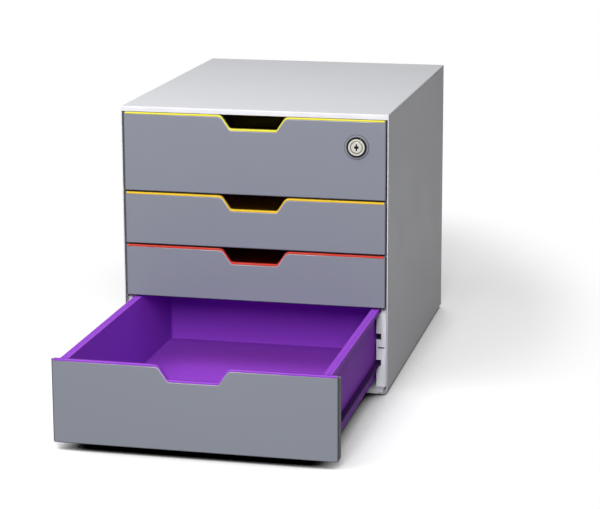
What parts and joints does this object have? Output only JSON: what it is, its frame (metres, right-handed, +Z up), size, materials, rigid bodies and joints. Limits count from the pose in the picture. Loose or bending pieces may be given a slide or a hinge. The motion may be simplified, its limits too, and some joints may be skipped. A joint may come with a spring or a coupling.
{
  "type": "desktop file drawer",
  "caption": "Desktop drawer case with sliding trays, grey notched fronts with coloured top strips, and a cam lock on the top drawer.",
  "frame": {"origin": "middle of the case's footprint, on the desk", "axes": "+X to the right seen from the front, -Y the way the drawers open, +Z up"},
  "size_m": [0.28, 0.59, 0.292],
  "materials": {
    "case_plastic": "fine matte moulded plastic, pale grey",
    "runner_plastic": "smooth moulded plastic, pale grey",
    "front_plastic": "satin moulded plastic, blue grey",
    "lemon_plastic": "satin moulded plastic, lemon yellow",
    "golden_plastic": "satin moulded plastic, golden yellow",
    "red_plastic": "satin moulded plastic, orange red",
    "purple_plastic": "satin moulded plastic, purple",
    "foot_rubber": "dark rubber",
    "lock_nickel": "nickel plated",
    "zinc_steel": "zinc plated"
  },
  "bodies": {
    "case": {"top_panel": "case_plastic", "base_panel": "case_plastic", "left_side_panel": "case_plastic", "right_side_panel": "case_plastic", "back_panel": "case_plastic", "left_runner_frame": "runner_plastic", "right_runner_frame": "runner_plastic", "front_left_foot": "foot_rubber", "front_right_foot": "foot_rubber", "back_left_foot": "foot_rubber", "back_right_foot": "foot_rubber", "strike_plate": "zinc_steel", "strike_screws": "zinc_steel"},
    "top_drawer": {"top_drawer_tray": "lemon_plastic", "top_drawer_front": "front_plastic", "lock_barrel": "lock_nickel", "lock_washer": "zinc_steel", "lock_nut": "lock_nickel"},
    "upper_drawer": {"upper_drawer_tray": "golden_plastic", "upper_drawer_front": "front_plastic"},
    "lower_drawer": {"lower_drawer_tray": "red_plastic", "lower_drawer_front": "front_plastic"},
    "bottom_drawer": {"bottom_drawer_tray": "purple_plastic", "bottom_drawer_front": "front_plastic"},
    "lock_core": {"lock_plug": "lock_nickel", "lock_cam": "zinc_steel", "cam_screw": "zinc_steel"}
  },
  "joints": [
    {"name": "top_drawer_slide", "type": "slide", "parent": "case", "child": "top_drawer", "axis": [0, -1, 0], "range_m": [0, 0.25]},
    {"name": "upper_drawer_slide", "type": "slide", "parent": "case", "child": "upper_drawer", "axis": [0, -1, 0], "range_m": [0, 0.25]},
    {"name": "lower_drawer_slide", "type": "slide", "parent": "case", "child": "lower_drawer", "axis": [0, -1, 0], "range_m": [0, 0.25]},
    {"name": "bottom_drawer_slide", "type": "slide", "parent": "case", "child": "bottom_drawer", "axis": [0, -1, 0], "range_m": [-0.234, 0.016]},
    {"name": "lock_turn", "type": "hinge", "parent": "top_drawer", "child": "lock_core", "pos_m": [0.1075, -0.178, 0.258], "axis": [0, 1, 0], "range_deg": [0, 90]}
  ]
}
